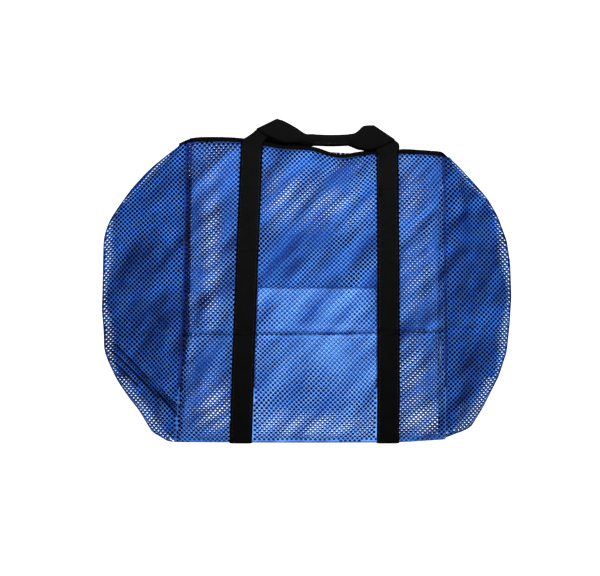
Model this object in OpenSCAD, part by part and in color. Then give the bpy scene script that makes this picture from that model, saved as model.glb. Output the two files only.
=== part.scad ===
// Zip-topped laundry bag of knitted mesh with webbing straps and two short handles.
// Millimetres, Z up, the front faces -Y and the straps' undersides rest on Z = 0.

/* [Body] */
// Width of the front and rear panels between their side seams
panel_width = 443; // [400:1:480]
// Height of the closed mouth above the ground, at mid width
mouth_height = 508.5; // [480:0.5:540]
// Half the depth of the base at mid width
base_half = 44; // [38:1:52]
// How far the panels belly out between base and mouth
belly = 26; // [18:1:34]
// How far the left end panel stands out past its seams
left_bulge = 146; // [100:1:160]
// How far the right end panel stands out past its seams
right_bulge = 118; // [90:1:150]
// Thickness of the knitted mesh
mesh_thick = 1.2; // [0.8:0.1:1.6]

/* [Pockets] */
// Height of the front pocket's open edge above the ground
front_pocket_top = 263; // [200:1:320]
// Height of the rear pocket's open edge above the ground
rear_pocket_top = 356; // [280:1:380]

/* [Webbing] */
// Width of the strap and handle webbing
web_width = 38; // [32:1:40]
// Thickness of the webbing
web_thick = 1.6; // [1.2:0.1:1.8]

/* [Zipper] */
// Where the slider rests along the zipper
slider_rest = 122; // [110:1:128]

/* [Hidden] */
$fn = 48;

mouth_slope = 0.0525;       // the mouth falls to the right
mouth_tilt = atan(mouth_slope);
mouth_half = 8;             // half depth of the panels where they meet the zipper
seam_share = 0.78;          // how much of the belly is left at the side seams
base_flare = 17;            // the left seam runs outwards towards the base
panel_drop = 6;             // the panels end this far below the coil
ground_gap = 2;             // the mesh hangs this far above the straps' undersides
gap = 0.3;                  // between neighbouring pieces
end_top_drop = 15;          // the end panels' folds end this far below the coil
wing_rise = 7;              // the base turns up at the ends of the folds

left_strap_top = -109;      // strap centres at the mouth and at the base
left_strap_base = -127;
right_strap_top = 124.7;
right_strap_base = 123.8;
strap_end = 8.5;            // the straps end this far below the coil

handle_y = 10.8;            // the handles' middle layer stands this far off the zipper
hinge_drop = 5.5;           // the handles turn this far below the coil
layer = web_thick + 0.2;    // from one layer of folded webbing to the next
grip_low = 512;             // the folded grip's lower and upper edge
grip_high = 530;
grip_left = -3;
grip_right = 60;

coil_in = 0.7;
coil_out = 2.4;
coil_half = 1.1;
zip_left = -216;
zip_right = 218;
slider_length = 13;
slider_half = 4.4;
plate = 1.2;
pull_length = 22;
pull_width = 5.6;
pin_height = 4.3;           // the pull turns this far above the coil

mesh_blue = [0.09, 0.27, 0.72];
web_black = [0.07, 0.07, 0.075];
metal = [0.12, 0.12, 0.13];

// --- shared functions ---------------------------------------------------------------

function mix(a, b, q) = a + (b - a) * q;
function soft_min(a, b, k) = -k * ln(exp(-a / k) + exp(-b / k));
function unit(v) = v / norm(v);
function steps(a, b, n) = [for (i = [0 : n]) mix(a, b, i / n)];

// Height of the zipper's coil at x
function mouth(x) = mouth_height - mouth_slope * x;

// Half the bag's depth at mid width and at the side seams, t from base (0) to mouth (1)
function half_depth(t) =
    mouth_half + (base_half - mouth_half) * (1 - t) + belly * sin(180 * pow(t, 0.8));
function seam_depth(t) = mix(mouth_half, half_depth(t), seam_share);

function seam_x(side, t) =
    side < 0 ? -(panel_width / 2 + base_flare * pow(max(0, 1 - t), 2.5)) : panel_width / 2;

function panel_depth(u, t) = mix(seam_depth(t), half_depth(t), 1 - u * u);

// A point of the front (-1) or rear (1) panel, u from the left seam (-1) to the right (1)
function panel_at(side, u, t) =
    let (x = mix(seam_x(-1, t), seam_x(1, t), (u + 1) / 2))
    [x, side * panel_depth(u, t), mix(ground_gap, mouth(x) - panel_drop, t)];

// The u of a panel point that lies at x
function u_of(x, t) = 2 * (x - seam_x(-1, t)) / (seam_x(1, t) - seam_x(-1, t)) - 1;

// How far an end panel's fold stands out past its seams at height z
function left_out(z) = soft_min(
    soft_min(left_bulge, 10 + 0.917 * (mouth(zip_left) - 9 - z), 8), 30 + 0.72 * z, 8);
function right_out(z) = soft_min(
    soft_min(right_bulge, 10 + 0.95 * (mouth(zip_right) - 12 - z), 14), 36 + 0.6 * z, 14);
function fold_out(side, z) = side < 0 ? left_out(z) : right_out(z);

// A point of the left (-1) or right (1) end panel, s from front seam (-1) to rear (1)
function end_at(side, s, t) =
    let (x = seam_x(side, t),
         fold_z = mix(ground_gap + wing_rise, mouth(x) - end_top_drop, t),
         z = mix(fold_z, mix(ground_gap, mouth(x) - panel_drop, t), pow(abs(s), 1.5)))
    [x + side * fold_out(side, fold_z) * (1 - pow(abs(s), 1.7)), s * seam_depth(t), z];

// Brings the middle of the whole bag, from fold to fold, over the origin
shift = -(min([for (t = steps(0.01, 1, 24)) end_at(-1, 0, t)[0]])
    + max([for (t = steps(0.01, 1, 24)) end_at(1, 0, t)[0]])) / 2;

// A point of the base, w from the left end (-1) to the right, v from front (-1) to rear
function base_at(w, v) =
    let (wing = 1 - pow(abs(v), 1.7),
         left = seam_x(-1, 0) - fold_out(-1, ground_gap + wing_rise) * wing,
         right = seam_x(1, 0) + fold_out(1, ground_gap + wing_rise) * wing,
         x = mix(left, right, (w + 1) / 2),
         u = min(1, max(-1, u_of(x, 0))),
         past = max(0, seam_x(-1, 0) - x, x - seam_x(1, 0)))
    [x, v * (panel_depth(u, 0) - mesh_thick - gap),
     ground_gap + wing_rise * past / fold_out(x < 0 ? -1 : 1, ground_gap + wing_rise)];

// --- shared modules ------------------------------------------------------------------

// A closed solid between two grids of points with the same number of rows and columns
module between(a, b) {
    rows = len(a);
    cols = len(a[0]);
    n = rows * cols;
    r = floor(rows / 2) - 1;
    c = floor(cols / 2) - 1;
    p = a[r][c];
    turned = cross(a[r][c + 1] - p, a[r + 1][c] - p) * (p - b[r][c]) > 0;
    outer = turned ? b : a;
    inner = turned ? a : b;
    function id(i, j) = i * cols + j;
    points = [for (g = [outer, inner], row = g, p = row) p];
    sides = [
        for (i = [0 : rows - 2], j = [0 : cols - 2], f = [
            [id(i, j), id(i, j + 1), id(i + 1, j + 1)],
            [id(i, j), id(i + 1, j + 1), id(i + 1, j)],
            [n + id(i, j), n + id(i + 1, j + 1), n + id(i, j + 1)],
            [n + id(i, j), n + id(i + 1, j), n + id(i + 1, j + 1)]]) f];
    rims = [
        for (j = [0 : cols - 2], f = [
            [id(0, j), n + id(0, j), n + id(0, j + 1)],
            [id(0, j), n + id(0, j + 1), id(0, j + 1)],
            [id(rows - 1, j), n + id(rows - 1, j + 1), n + id(rows - 1, j)],
            [id(rows - 1, j), id(rows - 1, j + 1), n + id(rows - 1, j + 1)]]) f,
        for (i = [0 : rows - 2], f = [
            [id(i, 0), n + id(i + 1, 0), n + id(i, 0)],
            [id(i, 0), id(i + 1, 0), n + id(i + 1, 0)],
            [id(i, cols - 1), n + id(i, cols - 1), n + id(i + 1, cols - 1)],
            [id(i, cols - 1), n + id(i + 1, cols - 1), id(i + 1, cols - 1)]]) f];
    translate([shift, 0, 0]) polyhedron(points, concat(sides, rims), convexity = 6);
}

// The normal of surface f at (u, v), turned to side flip
function normal(f, u, v, flip) =
    let (e = 0.004, a = f(u + e, v) - f(u - e, v), b = f(u, v + e) - f(u, v - e))
    flip * unit(cross(a, b));

// Surface f over u0..u1 and v0..v1, from low to high along its outward normal
module sheet(f, us, vs, low, high, flip) {
    outer = [for (v = vs) [for (u = us) f(u, v) + high * normal(f, u, v, flip)]];
    inner = [for (v = vs) [for (u = us) f(u, v) + low * normal(f, u, v, flip)]];
    between(outer, inner);
}

// --- mesh panels ---------------------------------------------------------------------

module panel(side) {
    trim = 0.004;
    sheet(function (u, t) panel_at(side, u, t), steps(-1 + trim, 1 - trim, 26),
          steps(0.006, 1, 24), -mesh_thick, 0, -side);
}

module front_panel() color(mesh_blue) panel(-1);
module rear_panel() color(mesh_blue) panel(1);

module base_panel() color(mesh_blue)
    sheet(function (w, v) base_at(w, v), steps(-0.985, 0.985, 30), steps(-0.98, 0.98, 12),
          0, mesh_thick, 1);

module end_panel(side) {
    trim = 0.004;
    color(mesh_blue) sheet(function (s, t) end_at(side, s, t),
          steps(-1 + trim, 1 - trim, 20), steps(0.01, 1, 24), -mesh_thick, 0, side);
}

module left_end_panel() end_panel(-1);
module right_end_panel() end_panel(1);

// --- patch pockets, whose side edges are caught under the straps ------------------------

function strap_x(side_x, t) = side_x < 0
    ? mix(left_strap_base, left_strap_top, t) : mix(right_strap_base, right_strap_top, t);

module pocket(side, top) {
    high = top / (mouth_height - panel_drop);
    edge = web_width / 2 + gap;
    function at(q, t) = panel_at(side,
        u_of(mix(strap_x(-1, t) + edge, strap_x(1, t) - edge, (q + 1) / 2), t), t);
    color(mesh_blue) sheet(function (q, t) at(q, t), steps(-1, 1, 14),
                           steps(0.01, high, 14), gap, gap + mesh_thick, -side);
}

module front_pocket() pocket(-1, front_pocket_top);
module rear_pocket() pocket(1, rear_pocket_top);

// --- seam bindings, folded over the end seams' raw edges on the inside --------------------

module seam_binding(side) {
    reach = 8;
    // [point, direction into the bag, direction across the strip]
    function upright(s, t) = [end_at(side, s, t), unit([-side * 0.55, -s * 0.83, 0]),
                              unit([0.83 * s, -side * 0.55, 0])];
    function sill(v) = [base_at(side * 0.97, v), [0, 0, 1], [side, 0, 0]];
    color(web_black) {
        for (s = [-1, 1]) strip([for (t = steps(0.03, 0.88, 24)) upright(s, t)], reach);
        strip([for (v = steps(-0.8, 0.8, 14)) sill(v)], reach);
    }
}

// A strip 1.4 thick that stands reach from its line, clear of the mesh by a little
module strip(run, reach) {
    near = mesh_thick + 1;
    function at(r, q, out) = r[0] + q * r[1] + out * r[2];
    qs = steps(near, near + reach, 2);
    between([for (r = run) [for (q = qs) at(r, q, 0.7)]],
            [for (r = run) [for (q = qs) at(r, q, -0.7)]]);
}

module left_seam_binding() seam_binding(-1);
module right_seam_binding() seam_binding(1);

// --- zipper ----------------------------------------------------------------------------

module on_mouth(x) translate([shift + x, 0, mouth(x)]) rotate([0, mouth_tilt, 0]) children();

// Extrudes a profile drawn in (y, z) along the zipper
module along_zip(x0, x1) on_mouth(x0) rotate([90, 0, 90])
    linear_extrude((x1 - x0) / cos(mouth_tilt)) children();

module zipper_tape(side) color(web_black) along_zip(zip_left - 4, zip_right + 3)
    scale([side, 1]) polygon([
        [coil_out + 0.05, 0.3], [4.8, 0.3], [6, -0.9], [6.5, -3], [6.5, -8.6],
        [5.9, -8.6], [5.9, -3.1], [5.5, -1.3], [4.6, -0.3], [coil_out + 0.05, -0.3]]);

module zipper_coil(side) color(web_black) along_zip(zip_left, zip_right)
    translate([side * (coil_in + coil_out) / 2, 0])
        square([coil_out - coil_in, 2 * coil_half], center = true);

module front_zipper_tape() zipper_tape(-1);
module rear_zipper_tape() zipper_tape(1);
module front_zipper_coil() zipper_coil(-1);
module rear_zipper_coil() zipper_coil(1);

module zipper_stops() color(web_black)
    for (x = [zip_left - 2.2, zip_right + 2.2])
        on_mouth(x) cube([3.2, 4.8, 2.8], center = true);

// Two plates over and under the coils, a rail down each side and a nose between the coils
module zipper_slider() color(metal) on_mouth(slider_rest) {
    clear = coil_half + gap;
    for (z = [clear, -clear - plate])
        translate([-slider_length / 2, -slider_half, z])
            cube([slider_length, 2 * slider_half, plate]);
    for (y = [-slider_half, slider_half - 1])
        translate([-slider_length / 2, y, 0.7]) cube([slider_length, 1, clear]);
    translate([slider_length / 2 - 3, -0.4, -clear - 0.1]) cube([2.6, 0.8, 2 * clear + 0.2]);
    // bridge that the pull turns in
    roof = pin_height + 1.2;
    for (x = [-4.6, 3.4])
        translate([x, -1, clear + plate - 0.1]) cube([1.2, 2, roof - clear - plate + 0.2]);
    translate([-4.6, -1, roof]) cube([9.2, 2, 1.1]);
}

// A ring through the bridge and a flat tab, lying back along the zipper at rest
module zipper_pull() color(metal) on_mouth(slider_rest) translate([0, 0, pin_height]) {
    rotate([90, 0, 0]) cylinder(r = 0.7, h = pull_width, center = true);
    for (y = [-pull_width / 2, pull_width / 2 - 1])
        translate([-7, y, -0.6]) cube([7, 1, 1.2]);
    translate([-pull_length, -pull_width / 2, -0.6])
        cube([pull_length - 6.2, pull_width, 1.2]);
}

// --- straps, from the mouth down the panel and under the base ----------------------------

module strap(side, side_x) {
    low = gap;
    high = gap + web_thick;
    xs = steps(-0.5, 0.5, 4);
    top = 1 - (strap_end - panel_drop) / mouth_height;
    function at(q, t) = panel_at(side, u_of(strap_x(side_x, t) + q * web_width, t), t);
    function out(q, t) = normal(function (u, v) at(u, v), q, t, -side);
    function under(q, y, z) = let (x = strap_x(side_x, 0) + q * web_width) [x, y, z];
    function d(q) = panel_depth(u_of(strap_x(side_x, 0) + q * web_width, 0), 0);
    ts = steps(0.012, top, 26);
    outer = concat(
        [for (y = steps(0.012, 1, 6)) [for (q = xs) under(q, side * y * (d(q) - 3), 0)]],
        [[for (q = xs) under(q, side * (d(q) + 0.4), 0.5)]],
        [for (t = ts) [for (q = xs) at(q, t) + high * out(q, t)]]);
    inner = concat(
        [for (y = steps(0.012, 1, 6))
            [for (q = xs) under(q, side * y * (d(q) - 3), web_thick)]],
        [[for (q = xs) under(q, side * (d(q) + 0.3), web_thick + 0.1)]],
        [for (t = ts) [for (q = xs) at(q, t) + low * out(q, t)]]);
    color(web_black) between(outer, inner);
}

module front_left_strap() strap(-1, -1);
module front_right_strap() strap(-1, 1);
module rear_left_strap() strap(1, -1);
module rear_right_strap() strap(1, 1);

// --- handles ----------------------------------------------------------------------------

// A flat layer of webbing that stands in the plane of the handle, place layers out from it
module web_layer(side, place, outline)
    translate([shift, side * (handle_y + place * layer), 0]) rotate([90, 0, 0])
        linear_extrude(web_thick, center = true) polygon(outline);

// The rolled edge where two layers turn over between points a and b
module fold(side, a, b) {
    run = b - a;
    translate([shift + a[0], side * (handle_y + layer / 2), a[1]])
        rotate([0, 90 - atan2(run[1], run[0]), 0])
            cylinder(r = (layer + web_thick) / 2, h = norm(run));
}

module handle_left(side, drop) color(web_black) {
    root = mouth(left_strap_top) - hinge_drop + 2;
    web_layer(side, 0, [
        [left_strap_top - web_width / 2, root + 1], [left_strap_top + web_width / 2, root - 1],
        [-84, 521], [-64, 556 - drop], [-101, 538 - drop], [-113, 528], [-126, 520]]);
    web_layer(side, 1, [
        [-101, 538 - drop], [-64, 556 - drop], [-47, 549 - drop], [-23, 534.5 - drop / 2],
        [-17, grip_high], [grip_left - gap, grip_high], [grip_left - gap, grip_low],
        [-25, 516.5 - drop], [-55, 515.5 - drop], [-92, 532 - drop]]);
    fold(side, [-101, 538 - drop], [-64, 556 - drop]);
}

module handle_right(side, drop) color(web_black) {
    root = mouth(right_strap_top) - hinge_drop + 2;
    web_layer(side, 0, [
        [right_strap_top - web_width / 2, root + 1], [right_strap_top + web_width / 2, root - 1],
        [145, 512 - drop], [137, 519.5 - drop], [99, 545 - drop], [98, 530 - drop]]);
    web_layer(side, 1, [
        [grip_right + gap, grip_low], [grip_right + gap, grip_high], [66, 531],
        [75, 534 - drop / 2], [84, 542 - drop], [99, 545 - drop], [137, 519.5 - drop],
        [112, 506 - drop / 2], [92, 503 - drop / 2], [84, 505 - drop / 2], [74, 505.5]]);
    fold(side, [137, 519.5 - drop], [99, 545 - drop]);
}

// The webbing folded in half along its length and stitched shut
module grip(side) color(web_black)
    translate([shift + (grip_left + grip_right) / 2, side * (handle_y + layer / 2), 0])
        rotate([90, 0, 90]) linear_extrude(grip_right - grip_left, center = true) {
            translate([0, (grip_low + grip_high) / 2])
                square([4.4, grip_high - grip_low - 4.4], center = true);
            for (z = [grip_low + 2.2, grip_high - 2.2]) translate([0, z]) circle(r = 2.2);
        }

module front_handle_left() handle_left(-1, 0);
module front_handle_right() handle_right(-1, 0);
module front_grip() grip(-1);
module rear_handle_left() handle_left(1, 5);
module rear_handle_right() handle_right(1, 4);
module rear_grip() grip(1);

front_panel();
rear_panel();
base_panel();
left_end_panel();
right_end_panel();
front_pocket();
rear_pocket();
left_seam_binding();
right_seam_binding();
front_zipper_tape();
rear_zipper_tape();
front_zipper_coil();
rear_zipper_coil();
zipper_stops();
zipper_slider();
zipper_pull();
front_left_strap();
front_right_strap();
rear_left_strap();
rear_right_strap();
front_handle_left();
front_handle_right();
front_grip();
rear_handle_left();
rear_handle_right();
rear_grip();
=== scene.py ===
import bmesh
import bpy
import math
import numpy as np
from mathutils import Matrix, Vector


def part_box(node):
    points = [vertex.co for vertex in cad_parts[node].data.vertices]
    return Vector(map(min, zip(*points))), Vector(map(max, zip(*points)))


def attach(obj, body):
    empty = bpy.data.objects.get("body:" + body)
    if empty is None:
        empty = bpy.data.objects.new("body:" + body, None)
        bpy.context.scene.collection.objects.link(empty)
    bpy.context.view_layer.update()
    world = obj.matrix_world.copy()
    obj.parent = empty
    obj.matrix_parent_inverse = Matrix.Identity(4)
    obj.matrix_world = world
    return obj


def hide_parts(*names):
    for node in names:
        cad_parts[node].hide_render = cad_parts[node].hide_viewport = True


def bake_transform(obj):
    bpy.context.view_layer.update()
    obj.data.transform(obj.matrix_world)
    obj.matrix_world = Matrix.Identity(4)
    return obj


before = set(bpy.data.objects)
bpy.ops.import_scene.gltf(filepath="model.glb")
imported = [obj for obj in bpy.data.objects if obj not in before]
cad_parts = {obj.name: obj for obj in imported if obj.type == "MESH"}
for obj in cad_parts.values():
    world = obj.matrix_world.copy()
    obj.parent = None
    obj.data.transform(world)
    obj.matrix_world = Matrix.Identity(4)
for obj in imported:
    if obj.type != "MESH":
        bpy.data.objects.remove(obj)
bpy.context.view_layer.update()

# --- Camera, lamps and white paper ----------------------------------------------------------
# The bag stands on a flat sheet of white paper, seen level and straight on from a long lens. One
# softbox over the lens lights the front, a low one fills its shadows, and a third lights the back.


def point_mm(x, y, z):
    return Vector((x, y, z)) / 1000


grip_lo, grip_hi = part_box("front_grip")
GRIP_AT = 28.5                                      # mm, from the bag's middle line to the grip's
MIDDLE = (grip_lo.x + grip_hi.x) * 500 - GRIP_AT    # mm, x of the bag's own middle line
EYE_X, EYE_Z, EYE_FAR = MIDDLE - 26.0, 265.0, 2600.0
FIELD = 1038.0                                      # mm seen across at the bag
OVEREXPOSED = 1.1                                   # strength at which a surface shows as pure white

camera = bpy.data.objects.new("camera", bpy.data.cameras.new("camera"))
bpy.context.scene.collection.objects.link(camera)
camera.location = point_mm(EYE_X, -EYE_FAR, EYE_Z)
camera.rotation_euler = (math.radians(90), 0, 0)
camera.data.sensor_width = 36
camera.data.lens = 36 * EYE_FAR / FIELD
camera.data.clip_start, camera.data.clip_end = 0.05, 40
bpy.context.scene.camera = camera


def linear(code):
    """An sRGB hex colour as linear RGBA."""
    parts = [int(code[i:i + 2], 16) / 255 for i in (1, 3, 5)]
    return (*[c / 12.92 if c <= 0.04045 else ((c + 0.055) / 1.055) ** 2.4 for c in parts], 1)


def node(mat, kind, settings=None, **links):
    """Adds a shader node, sets its properties and inputs, and links the sockets given."""
    made = mat.node_tree.nodes.new(kind)
    for name, value in (settings or {}).items():
        if isinstance(name, str) and hasattr(made, name):
            setattr(made, name, value)
        else:
            made.inputs[name].default_value = value
    for name, source in links.items():
        mat.node_tree.links.new(source, made.inputs[name.replace("_", " ")])
    return made


def cloth_material(name):
    """An empty material with its Principled shader."""
    mat = bpy.data.materials.new(name)
    mat.use_nodes = True
    return mat, mat.node_tree.nodes["Principled BSDF"]


def mixed_colour(mat, deep, bright, share):
    """A blend of two hex colours, by a share from 0 to 1."""
    return node(mat, "ShaderNodeMix", {"data_type": "RGBA", 6: linear(deep), 7: linear(bright)},
                Factor=share).outputs[2]


def shown_as(owner, lit, seen, output):
    """Shows the camera one shader, while the other one lights the bag."""
    ray = node(owner, "ShaderNodeLightPath")
    mixed = node(owner, "ShaderNodeMixShader")
    for source, socket in ((ray.outputs["Is Camera Ray"], mixed.inputs[0]), (lit, mixed.inputs[1]),
                           (seen, mixed.inputs[2]),
                           (mixed.outputs[0], owner.node_tree.nodes[output].inputs["Surface"])):
        owner.node_tree.links.new(source, socket)


def mesh_object(name, verts, faces, mats, slots=None, smooth=True):
    """A mesh object from points in mm and a list of equal-sided face arrays."""
    data = bpy.data.meshes.new(name)
    faces = [np.asarray(f, np.int32) for f in faces if len(f)]
    loops = np.concatenate([f.ravel() for f in faces])
    sizes = np.concatenate([np.full(len(f), f.shape[1]) for f in faces])
    data.vertices.add(len(verts))
    data.vertices.foreach_set("co", (np.asarray(verts) / 1000).astype(np.float32).ravel())
    data.loops.add(len(loops))
    data.loops.foreach_set("vertex_index", loops)
    data.polygons.add(len(sizes))
    starts = np.concatenate([[0], np.cumsum(sizes)[:-1]]).astype(np.int32)
    data.polygons.foreach_set("loop_start", starts)
    data.polygons.foreach_set("loop_total", sizes.astype(np.int32))
    if slots is not None:
        data.polygons.foreach_set("material_index", np.asarray(slots, np.int32))
    data.update(calc_edges=True)
    data.validate()
    data.polygons.foreach_set("use_smooth", np.full(len(data.polygons), smooth))
    made = bpy.data.objects.new(name, data)
    bpy.context.scene.collection.objects.link(made)
    for mat in mats:
        data.materials.append(mat)
    return made


paper, shader = cloth_material("seamless_paper_matt_white")
grain = node(paper, "ShaderNodeTexNoise", {"Scale": 900.0, "Detail": 3.0})
tone = mixed_colour(paper, "#F7F7F7", "#FBFBFB", grain.outputs["Fac"])
paper.node_tree.links.new(tone, shader.inputs["Base Color"])
shader.inputs["Roughness"].default_value = 0.9
# the paper is overexposed: it shows as pure white, and lends the bag little of that light
glow = node(paper, "ShaderNodeEmission", {"Strength": OVEREXPOSED}, Color=tone)
shown_as(paper, shader.outputs[0], glow.outputs[0], "Material Output")

reach = 9000.0              # mm, half the side of the paper
corners = np.array([(-reach, -reach, 0), (reach, -reach, 0), (reach, reach, 0), (-reach, reach, 0)])
sweep = mesh_object("sweep", corners, [[[0, 1, 2, 3]]], [paper], smooth=False)


def lamp(name, at, aim, size, watts):
    """A square softbox at a point, facing another, both in mm."""
    made = bpy.data.objects.new(name, bpy.data.lights.new(name, "AREA"))
    bpy.context.scene.collection.objects.link(made)
    made.data.size = size / 1000
    made.data.energy = watts
    made.location = point_mm(*at)
    made.rotation_mode = "QUATERNION"
    made.rotation_quaternion = (point_mm(*aim) - point_mm(*at)).to_track_quat("-Z", "Y")
    made.visible_camera = False
    return made


lamp("key_softbox", (90, -1050, 1120), (0, 0, 250), 320, 22.5)
lamp("front_fill", (-160, -1500, 90), (-20, 0, 130), 500, 11)
lamp("rear_fill", (300, 1500, 900), (0, 0, 250), 700, 14)

# a dim room round the bag, with the same overexposed white beyond the paper's edge
sky = bpy.data.worlds.new("soft_room")
sky.use_nodes = True
room = sky.node_tree.nodes["Background"]
room.inputs["Color"].default_value = (1, 1, 1, 1)
room.inputs["Strength"].default_value = 0.14
beyond = node(sky, "ShaderNodeBackground", {"Color": (1, 1, 1, 1), "Strength": OVEREXPOSED})
shown_as(sky, room.outputs[0], beyond.outputs[0], "World Output")
bpy.context.scene.world = sky
bpy.context.scene.view_settings.view_transform = "Standard"
bpy.context.scene.view_settings.look = "Medium High Contrast"

# --- Shape of the half-collapsed bag -------------------------------------------------------
# The cut sizes and the way the cloth hangs: the mouth slopes, the belly sags, the side seams
# pull in, and the end panels fold outwards to an edge at each end.

MOUTH, SLOPE = 508.5, 0.0525        # mm, height of the coil at mid width, and its fall
SEAM = 221.5                        # mm, from the middle line to a side seam
BASE_HALF, BELLY, MOUTH_HALF = 44.0, 26.0, 8.0
LEFT_EDGE = np.array([(2, -252), (11, -277), (20, -284), (54, -304), (71, -318), (88, -330), (106, -342),
                      (123, -350), (140, -358), (158, -364), (192, -365), (227, -368), (261, -367),
                      (313, -366), (348, -365), (365, -361), (383, -354), (400, -343), (417, -331),
                      (435, -318), (452, -303), (469, -287), (486, -267), (504, -244), (514, -230)], float)
RIGHT_EDGE = np.array([(2, 200), (7, 223), (20, 266), (55, 288), (112, 317), (155, 331), (203, 336),
                       (250, 339), (307, 337), (347, 331), (390, 315), (421, 297), (447, 274),
                       (469, 254), (485, 238), (491, 230)], float)
# how far the zipper's line arches above (+) or hangs below the straight line from end to end
ARCH = np.array([(-235, 0), (-219, 2.6), (-209, 4.8), (-198, 6.4), (-177, 7.7), (-157, 8.5), (-136, 8.6),
                 (-110, 7), (-87, 4.5), (-74, 2.5), (-60, 1.2), (-32, 0.6), (-18, 0.9), (-4, 0), (9, -2.5),
                 (25, -8), (41, -11.2), (55, -9.8), (69, -6), (79, -4), (93, -1.6), (106, 0), (133, 0),
                 (144, 3), (155, 4.3), (176, 4.1), (196, 3.7), (217, 3.2), (235, 1)], float)


def mouth(x):
    return MOUTH - SLOPE * x


def high(x, z):
    return np.clip((z - 2) / (mouth(x) - 8), 0, 1)


def mid_depth(t):
    return MOUTH_HALF + (BASE_HALF - MOUTH_HALF) * (1 - t) + BELLY * np.sin(np.pi * t ** 0.8)


def side_depth(t):
    return MOUTH_HALF + (mid_depth(t) - MOUTH_HALF) * 0.78


def left_seam(x, z):
    return -(SEAM + 17 * (1 - high(x, z)) ** 2.5)


def edge(side, z):
    table = LEFT_EDGE if side < 0 else RIGHT_EDGE
    return sum(np.interp(z + d, table[:, 0], table[:, 1]) for d in (-7, -3, 0, 3, 7)) / 5


def bump(v, at, wide):
    return np.exp(-((v - at) / wide) ** 2)


def strap_x(side, t):
    return np.where(side < 0, -127 + 18 * t, 123.8 + 0.9 * t)


def between_straps(x, z, wide=24.0):
    """0 under a strap, where the cloth is sewn flat, and 1 away from it."""
    t = high(x, z)
    return (1 - bump(x, strap_x(-1, t), wide)) * (1 - bump(x, strap_x(1, t), wide))


def ridge(x, z, a, b, wide):
    """A long soft fold from point a to point b, fading at both ends."""
    ax, az, dx, dz = a[0], a[1], b[0] - a[0], b[1] - a[1]
    length = math.hypot(dx, dz)
    s = ((x - ax) * dx + (z - az) * dz) / length ** 2
    off = ((z - az) * dx - (x - ax) * dz) / length
    return bump(off, 0, wide) * np.exp(-np.maximum(0, np.abs(s - 0.5) - 0.38) ** 2 * 40)


def drift(x, z, seed):
    """Slow waves that stand for the slackness of the cloth, from -1 to 1."""
    total = 0
    for k in range(6):
        a = seed * 1.7 + k * 2.399
        w = 0.028 + 0.009 * k
        total = total + np.sin((x * np.cos(a) + z * np.sin(a)) * w + seed + 1.3 * k) / (1 + 0.5 * k)
    return total / 2.6


def panel_folds(x, z, side):
    t = high(x, z)
    fade = np.sin(np.pi * np.clip(t, 0, 1)) ** 0.6
    soft = 2.2 * drift(x, z, 1.0 if side < 0 else 4.0) * fade
    near_seam = np.minimum(np.abs(x - SEAM), np.abs(x - left_seam(x, z)))
    soft = soft + 8.5 * bump(near_seam, 20, 10) * fade
    if side < 0:
        for a, b, tall, wide in (((108, 490), (36, 420), 4.0, 9), ((44, 448), (-60, 338), 4.6, 12),
                                 ((108, 438), (40, 362), 4.4, 10), ((-20, 470), (-84, 400), 3.0, 11),
                                 ((218, 392), (150, 318), 5.0, 11), ((214, 470), (150, 420), 3.2, 10),
                                 ((-212, 300), (-150, 225), 2.6, 12), ((-150, 160), (-228, 70), 3.4, 12),
                                 ((60, 170), (10, 100), 2.6, 14), ((205, 170), (150, 110), 2.8, 12)):
            soft = soft + 2.1 * tall * ridge(x, z, a, b, wide)
    else:
        for a, b, tall, wide in (((-100, 480), (-20, 400), 4.0, 11), ((90, 300), (0, 380), 3.6, 14),
                                 ((200, 450), (150, 380), 3.0, 11), ((-205, 200), (-150, 120), 3.4, 13)):
            soft = soft + tall * ridge(x, z, a, b, wide)
    crease = -8.0 * bump(z, 187 + 0.012 * x, 3.2) + 3.4 * bump(z, 198 + 0.012 * x, 7)
    edges = np.clip(near_seam / 9, 0, 1)
    return (soft * edges + crease * np.clip(near_seam / 6, 0.3, 1)) * between_straps(x, z)


def panel_y(x, z, side, folds=1.0):
    """How far the front (-1) or rear (1) panel stands out at x and height z."""
    t = high(x, z)
    left = left_seam(x, z)
    u = np.clip(2 * (x - left) / (SEAM - left) - 1, -1, 1)
    return side_depth(t) + (mid_depth(t) - side_depth(t)) * (1 - u * u) + folds * panel_folds(x, z, side)


def sag(x, side):
    """How far the mouth hangs below the straight line. The rear panel stands above the slack."""
    hang = -sum(np.interp(x + d, ARCH[:, 0], ARCH[:, 1]) for d in (-7, -3.5, 0, 3.5, 7)) / 5
    return hang if side <= 0 else np.minimum(hang, 0.2 + 0.2 * hang * (x > 60))


def collar(x):
    """How far below the coil the panels' top edges are sewn."""
    return 7.4 - 1.4 * bump(x, 40, 40)


def drop_at(x, z, side):
    """The panel's rows follow the mouth down, less and less towards the base."""
    return sag(x, side) * np.clip(high(x, z), 0, 1) ** 5


def panel_point(x, z, side, out=0.0, folds=1.0):
    y = side * (panel_y(x, z, side, folds) + out)
    return np.stack([x + MIDDLE, y + 0 * x, z - drop_at(x, z, side)], -1)


def end_share(x, z, side):
    """0 at the side seam, 1 at the end fold."""
    seam = left_seam(x, z) if side < 0 else SEAM
    return np.clip((x - seam) / np.where(np.abs(edge(side, z) - seam) < 1, side, edge(side, z) - seam),
                   0, 1)


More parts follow.
